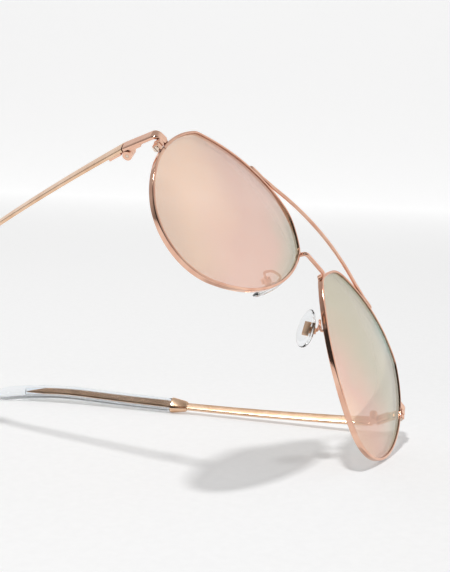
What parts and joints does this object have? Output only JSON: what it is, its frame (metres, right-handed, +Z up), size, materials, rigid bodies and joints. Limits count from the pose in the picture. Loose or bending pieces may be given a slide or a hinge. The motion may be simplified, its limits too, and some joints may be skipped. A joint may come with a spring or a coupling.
{
  "type": "sunglasses",
  "caption": "Wire-rimmed aviator sunglasses with mirrored lenses, a bridge and brow bar, rocking nose pads and folding temples with clear ear tips.",
  "frame": {"origin": "centre of the bounding box at floor level, with the rims and the right temple tip standing on the floor", "axes": "+Z up; -Y is the way the lenses look; +Y runs back along the temples; +X is the wearer's left"},
  "size_m": [0.141, 0.1638, 0.0567],
  "materials": {
    "rose_gold_metal": "polished rose-gold plating",
    "screw_steel": "fine turned steel, gold toned",
    "mirror_lens": "polished, rose-gold mirror coating",
    "clear_plastic": "clear, polished"
  },
  "bodies": {
    "frame": {"bridge": "rose_gold_metal", "brow_bar": "rose_gold_metal", "left_closing_block_lower": "rose_gold_metal", "left_closing_block_upper": "rose_gold_metal", "left_closing_screw": "screw_steel", "left_end_piece": "rose_gold_metal", "left_hinge_front_leaf": "rose_gold_metal", "left_hinge_screw": "screw_steel", "left_lens": "mirror_lens", "left_pad_arm": "rose_gold_metal", "left_pad_box": "rose_gold_metal", "left_pad_screw": "screw_steel", "left_rim": "rose_gold_metal", "right_closing_block_lower": "rose_gold_metal", "right_closing_block_upper": "rose_gold_metal", "right_closing_screw": "screw_steel", "right_end_piece": "rose_gold_metal", "right_hinge_front_leaf": "rose_gold_metal", "right_hinge_screw": "screw_steel", "right_lens": "mirror_lens", "right_pad_arm": "rose_gold_metal", "right_pad_box": "rose_gold_metal", "right_pad_screw": "screw_steel", "right_rim": "rose_gold_metal"},
    "left_temple": {"left_clear_tip": "clear_plastic", "left_ferrule": "rose_gold_metal", "left_hinge_temple_leaf": "rose_gold_metal", "left_temple_bar": "rose_gold_metal"},
    "left_pad": {"left_nose_pad": "clear_plastic", "left_pad_insert": "rose_gold_metal"},
    "right_temple": {"right_clear_tip": "clear_plastic", "right_ferrule": "rose_gold_metal", "right_hinge_temple_leaf": "rose_gold_metal", "right_temple_bar": "rose_gold_metal"},
    "right_pad": {"right_nose_pad": "clear_plastic", "right_pad_insert": "rose_gold_metal"}
  },
  "joints": [
    {"name": "left_temple_fold", "type": "hinge", "parent": "frame", "child": "left_temple", "pos_m": [0.06751, -0.05937, 0.03099], "axis": [-0.0349, 0.167, 0.9853], "range_deg": [-26, 56]},
    {"name": "right_temple_fold", "type": "hinge", "parent": "frame", "child": "right_temple", "pos_m": [-0.0675, -0.05937, 0.03099], "axis": [-0.1305, -0.1657, -0.9775], "range_deg": [0, 87]},
    {"name": "left_pad_rock", "type": "hinge", "parent": "frame", "child": "left_pad", "pos_m": [0.0121, -0.07256, 0.02478], "axis": [-0.1147, 0.9482, 0.2961], "range_deg": [-12, 12]},
    {"name": "right_pad_rock", "type": "hinge", "parent": "frame", "child": "right_pad", "pos_m": [-0.0121, -0.07256, 0.02478], "axis": [-0.1147, -0.9482, -0.2961], "range_deg": [-12, 12]}
  ]
}
